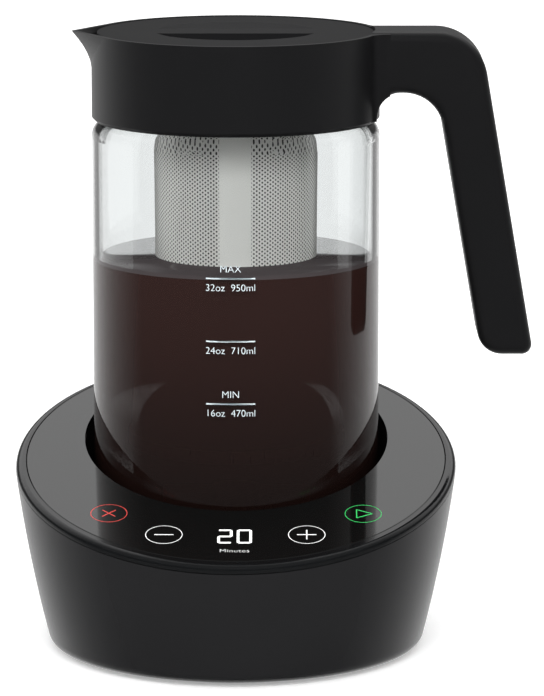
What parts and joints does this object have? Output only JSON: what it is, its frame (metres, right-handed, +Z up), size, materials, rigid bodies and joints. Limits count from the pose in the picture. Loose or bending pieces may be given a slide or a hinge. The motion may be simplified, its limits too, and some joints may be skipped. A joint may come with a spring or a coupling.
{
  "type": "cold brew coffee maker",
  "caption": "Round motor base with a sloped touch panel and a glass pitcher with spouted collar, handle, lid and steel filter.",
  "frame": {"origin": "on the table, on the axis of the round base", "axes": "+Z up; -Y towards the user and the touch controls; +X towards the handle, -X towards the spout"},
  "size_m": [0.2085, 0.1771, 0.2486],
  "materials": {
    "housing_abs": "moulded, satin gloss",
    "ring_gloss": "moulded, high gloss",
    "panel_black": "polished black panel",
    "well_black": "moulded, fine satin",
    "plate_black": "moulded, matt",
    "foot_rubber": "soft matt",
    "screw_steel": "zinc plated",
    "board_green": "solder mask",
    "spring_steel": "plated spring wire",
    "display_grey": "moulded",
    "motor_steel": "drawn steel can",
    "bracket_steel": "pressed sheet",
    "supply_yellow": "taped winding",
    "capacitor_black": "sleeved can",
    "gland_rubber": "moulded",
    "shaft_steel": "ground",
    "carrier_white": "moulded",
    "magnet_nickel": "nickel plated",
    "glass": "clear borosilicate",
    "collar_pp": "moulded, satin",
    "seal_silicone": "soft matt",
    "stirrer_white": "moulded",
    "plug_pp": "moulded, satin",
    "cap_pp": "moulded, satin",
    "filter_steel": "stainless, perforated"
  },
  "bodies": {
    "base": {"base_housing": "housing_abs", "bottom_plate": "plate_black", "foot_ring": "foot_rubber", "base_screws": "screw_steel", "rim_ring": "ring_gloss", "touch_panel": "panel_black", "pitcher_well": "well_black", "touch_board": "board_green", "touch_springs": "spring_steel", "display_module": "display_grey", "motor": "motor_steel", "motor_bracket": "bracket_steel", "motor_screws": "screw_steel", "main_board": "board_green", "power_supply": "supply_yellow", "capacitors": "capacitor_black", "cord_gland": "gland_rubber"},
    "drive": {"motor_shaft": "shaft_steel", "magnet_carrier": "carrier_white", "drive_magnets": "magnet_nickel"},
    "pitcher": {"glass_vessel": "glass", "pour_collar": "collar_pp", "collar_seal": "seal_silicone"},
    "stirrer": {"stirrer_paddle": "stirrer_white", "stirrer_magnet": "magnet_nickel"},
    "lid": {"lid_plug": "plug_pp", "lid_gasket": "seal_silicone"},
    "cap": {"lid_cap": "cap_pp"},
    "filter": {"filter_rim": "filter_steel", "filter_screen": "filter_steel", "filter_base": "filter_steel"}
  },
  "joints": [
    {"name": "motor_spin", "type": "hinge", "parent": "base", "child": "drive", "pos_m": [0, 0.02, 0.044], "axis": [0, 0, 1], "continuous": true},
    {"name": "pitcher_lift", "type": "slide", "parent": "base", "child": "pitcher", "axis": [0, 0, 1], "range_m": [0, 0.12]},
    {"name": "stirrer_spin", "type": "hinge", "parent": "pitcher", "child": "stirrer", "pos_m": [0, 0.02, 0.0606], "axis": [0, 0, 1], "continuous": true},
    {"name": "lid_lift", "type": "slide", "parent": "pitcher", "child": "lid", "axis": [0, 0, 1], "range_m": [0, 0.175]},
    {"name": "cap_turn", "type": "hinge", "parent": "lid", "child": "cap", "pos_m": [0, 0.02, 0.2455], "axis": [0, 0, 1], "range_deg": [0, 90]},
    {"name": "filter_twist", "type": "hinge", "parent": "lid", "child": "filter", "pos_m": [0, 0.02, 0.236], "axis": [0, 0, 1], "range_deg": [0, 45]}
  ],
  "couplings": [
    {"joint": "stirrer_spin", "follows": "motor_spin", "ratio": 1}
  ]
}
